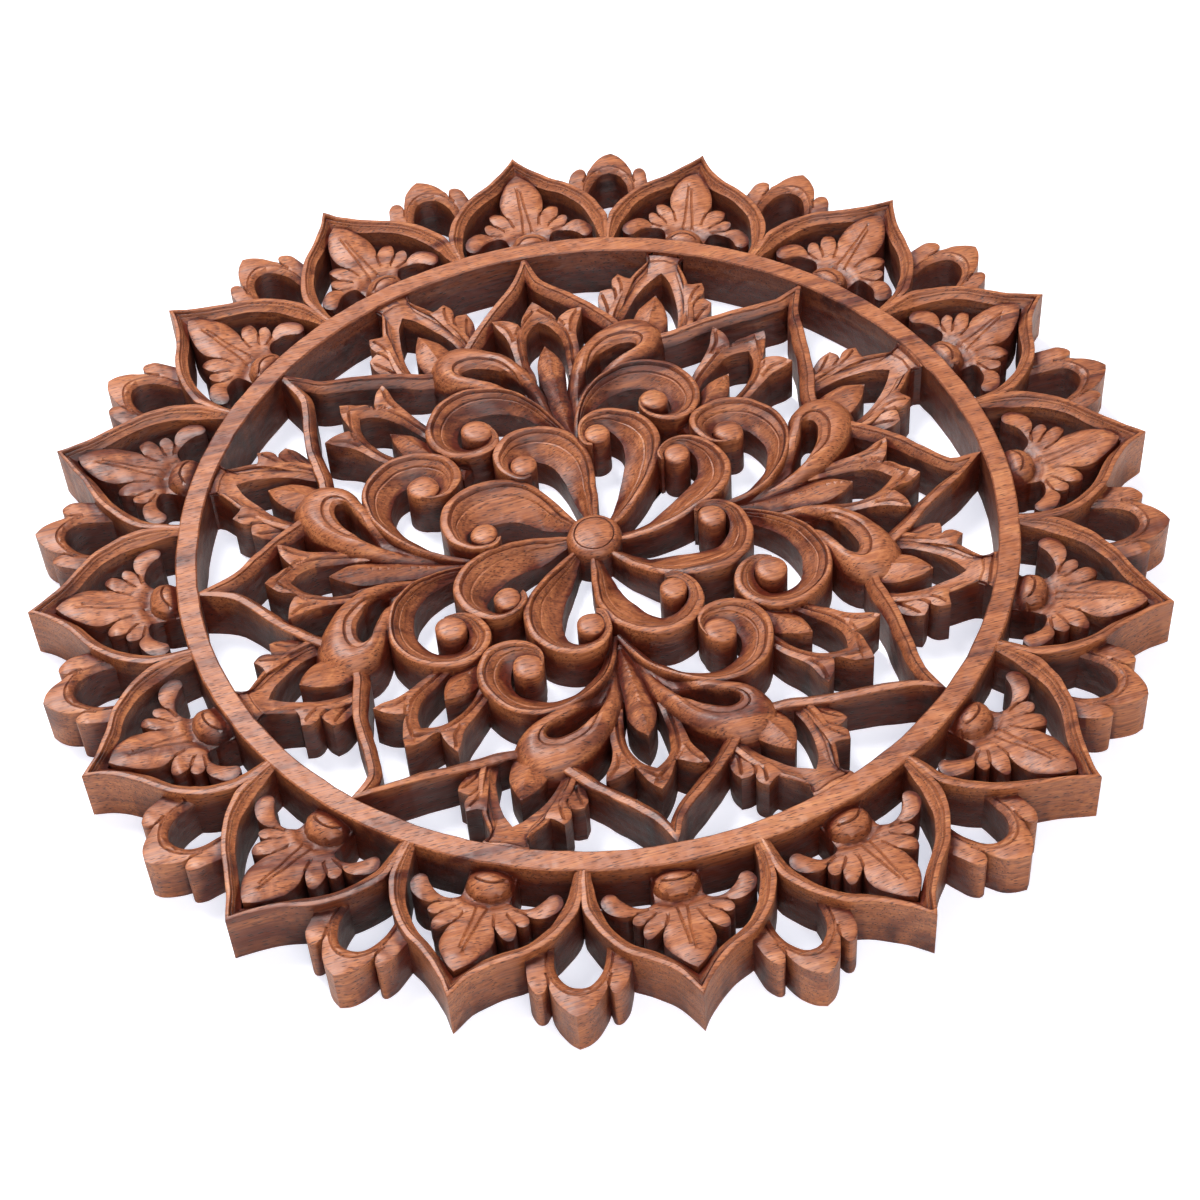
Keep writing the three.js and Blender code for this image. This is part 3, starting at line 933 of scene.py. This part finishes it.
def painted_shade(tree, where):
    """How much painted shade darkens the wood: most in the depths, where it also partly stands for darker
    stain, and on walls that face the middle as painted shadow; little on the flat back."""
    depth = add(tree, "ShaderNodeAttribute", {"attribute_name": "shelter"})
    # painted shade where the sky is hidden, partly standing for darker stain in the recesses
    recess_shade = add(tree, "ShaderNodeValToRGB", {"stops": [(0.04, "#000000"), (0.34, "#ffffff")]},
                  {"Fac": depth.outputs["Fac"]})
    # painted shadow on walls that face the middle, such as the ring's inner wall
    normal = add(tree, "ShaderNodeTexCoord").outputs["Normal"]
    level = add(tree, "ShaderNodeMapping", {"Scale": (1, 0, 1)}, {"Vector": where})
    outward = add(tree, "ShaderNodeVectorMath", {"operation": "NORMALIZE"}, {0: level.outputs["Vector"]})
    turn = add(tree, "ShaderNodeVectorMath", {"operation": "DOT_PRODUCT"},
               {0: normal, 1: outward.outputs["Vector"]})
    inward = add(tree, "ShaderNodeMapRange",
                 {"From Min": -0.3, "From Max": -0.9, "To Min": 0.0, "To Max": 0.75},
                 {"Value": turn.outputs["Value"]})
    deeper = add(tree, "ShaderNodeMath", {"operation": "MAXIMUM"},
                 {0: recess_shade.outputs["Color"], 1: inward.outputs["Result"]})
    # the painted shade is mostly left off the back, which faces away from the front
    back = add(tree, "ShaderNodeSeparateXYZ", links={"Vector": normal})
    spare_back = add(tree, "ShaderNodeMapRange",
                 {"From Min": 0.4, "From Max": 0.8, "To Min": 1.0, "To Max": 0.25},
                 {"Value": back.outputs["Y"]})
    return add(tree, "ShaderNodeMath", {"operation": "MULTIPLY"},
               {0: deeper.outputs["Value"], 1: spare_back.outputs["Result"]}).outputs["Value"]


def suar_wood():
    """Suar, a reddish hardwood with open pores, carved by hand, given stain and wax for a low satin."""
    material, tree = material_of("suar_wood", {
        "Roughness": 0.5, "IOR": 1.5, "Specular IOR Level": 0.5, "Coat Weight": 0.15, "Coat Roughness": 0.34})
    shader = tree.nodes["Principled BSDF"]
    where = add(tree, "ShaderNodeTexCoord").outputs["Object"]
    place = add(tree, "ShaderNodeMapping", {"Rotation": GRAIN_TURN}, {"Vector": where}).outputs["Vector"]
    fibre = grain(tree, place, FIBRE, 3.0, 0.3)
    colour, pore = wood_colour(tree, place, fibre)
    # multiplies in painted shade, which in the depths partly stands for darker stain
    shaded_wood = add(tree, "ShaderNodeMix", {"data_type": "RGBA", "blend_type": "MULTIPLY", B: linear("#905c4b")},
                {"Factor": painted_shade(tree, where), A: colour})
    tree.links.new(shaded_wood.outputs[RESULT], shader.inputs["Base Color"])
    # fibres and pores stand in the surface, and the gouge leaves shallow waves
    gouge = add(tree, "ShaderNodeTexNoise", {"Scale": 1 / (GOUGE * MM), "Detail": 1.0}, {"Vector": where})
    relief = add(tree, "ShaderNodeMath", {"operation": "MULTIPLY_ADD", 1: -0.6}, {0: pore, 2: fibre})
    soft = add(tree, "ShaderNodeBevel", {"samples": 2, "Radius": SOFT_EDGE})
    waves = add(tree, "ShaderNodeBump", {"Strength": 0.7, "Distance": GOUGE_DEPTH},
                {"Height": gouge.outputs["Fac"], "Normal": soft.outputs["Normal"]})
    fine = add(tree, "ShaderNodeBump", {"Strength": 0.5, "Distance": FIBRE_DEPTH},
               {"Height": relief.outputs["Value"], "Normal": waves.outputs["Normal"]})
    tree.links.new(fine.outputs["Normal"], shader.inputs["Normal"])
    worn = add(tree, "ShaderNodeMapRange", {"From Min": 0.3, "From Max": 0.7, "To Min": 0.4, "To Max": 0.56},
               {"Value": fibre})
    tree.links.new(worn.outputs["Result"], shader.inputs["Roughness"])
    return material


panel.data.materials.append(suar_wood())


# Stage, light and camera

def white_board():
    """A painted board that glows a little for the camera, so that it looks evenly lit from the
    front. From behind it isn't there, so the back of the panel shows."""
    material, tree = material_of("white_board", {"Base Color": linear("#d8d8d8"), "Roughness": 0.9})
    paint = tree.nodes["Principled BSDF"].outputs["BSDF"]
    seen = add(tree, "ShaderNodeLightPath").outputs["Is Camera Ray"]
    glow = add(tree, "ShaderNodeEmission", {"Color": linear("#eceffe"), "Strength": 0.64})
    lit = add(tree, "ShaderNodeAddShader", links={0: paint, 1: glow.outputs["Emission"]})
    front = add(tree, "ShaderNodeMixShader", links={"Fac": seen, 1: paint, 2: lit.outputs["Shader"]})
    clear = add(tree, "ShaderNodeBsdfTransparent")
    side = add(tree, "ShaderNodeNewGeometry").outputs["Backfacing"]
    board = add(tree, "ShaderNodeMixShader",
                links={"Fac": side, 1: front.outputs["Shader"], 2: clear.outputs["BSDF"]})
    tree.links.new(board.outputs["Shader"], tree.nodes["Material Output"].inputs["Surface"])
    return material


def stage_plane(name, size, matrix, material):
    bm = bmesh.new()
    bmesh.ops.create_grid(bm, x_segments=1, y_segments=1, size=size, matrix=matrix)
    plane = bpy.data.meshes.new(name)
    bm.to_mesh(plane)
    bm.free()
    plane.materials.append(material)
    thing = bpy.data.objects.new(name, plane)
    bpy.context.scene.collection.objects.link(thing)
    return thing


BOARD_GAP = 0.0006  # the board stands just behind the panel's back
wall = stage_plane("wall", 3.0,
                   Matrix.Translation((0, BOARD_GAP, 0)) @ Matrix.Rotation(math.pi / 2, 4, "X"),
                   white_board())
wall.visible_shadow = False
floor_paint, _ = material_of("floor_paint", {"Base Color": linear("#eeeeee"), "Roughness": 0.8})
stage_plane("floor", 4.0, Matrix.Translation((0, -2, -1.3)), floor_paint)


def area_light(name, place, size, watts):
    """A round soft lamp that points at the panel's middle."""
    data = bpy.data.lights.new(name, "AREA")
    data.shape = "DISK"
    data.size = size
    data.energy = watts
    lamp = bpy.data.objects.new(name, data)
    lamp.location = place
    lamp.rotation_euler = (-Vector(place)).to_track_quat("-Z", "Y").to_euler()
    bpy.context.scene.collection.objects.link(lamp)


area_light("key", (-0.45, -1.6, 0.75), 0.8, 38)
area_light("fill", (0.15, -1.3, -1.2), 1.2, 18)
area_light("back", (0.1, 2.0, 0.3), 1.2, 30)
world = bpy.data.worlds.new("studio")
world.use_nodes = True
world.node_tree.nodes["Background"].inputs["Color"].default_value = (1, 1, 1, 1)
world.node_tree.nodes["Background"].inputs["Strength"].default_value = 0.36
bpy.context.scene.world = world

CAMERA_PLACE = (-0.0707, -0.7340, -0.6385)
CAMERA_RIGHT = Vector((0.98451, 0.05059, -0.16787))
CAMERA_UP = Vector((0.16042, -0.64630, 0.74603))
CAMERA_LENS = 81.79
CAMERA_SENSOR = 36
camera_data = bpy.data.cameras.new("camera")
camera_data.lens = CAMERA_LENS
camera_data.sensor_width = CAMERA_SENSOR
camera = bpy.data.objects.new("camera", camera_data)
basis = Matrix((CAMERA_RIGHT, CAMERA_UP, CAMERA_RIGHT.cross(CAMERA_UP))).transposed()
camera.matrix_world = Matrix.Translation(CAMERA_PLACE) @ basis.to_4x4()
bpy.context.scene.collection.objects.link(camera)
bpy.context.scene.camera = camera
bpy.context.scene.view_settings.view_transform = "Standard"
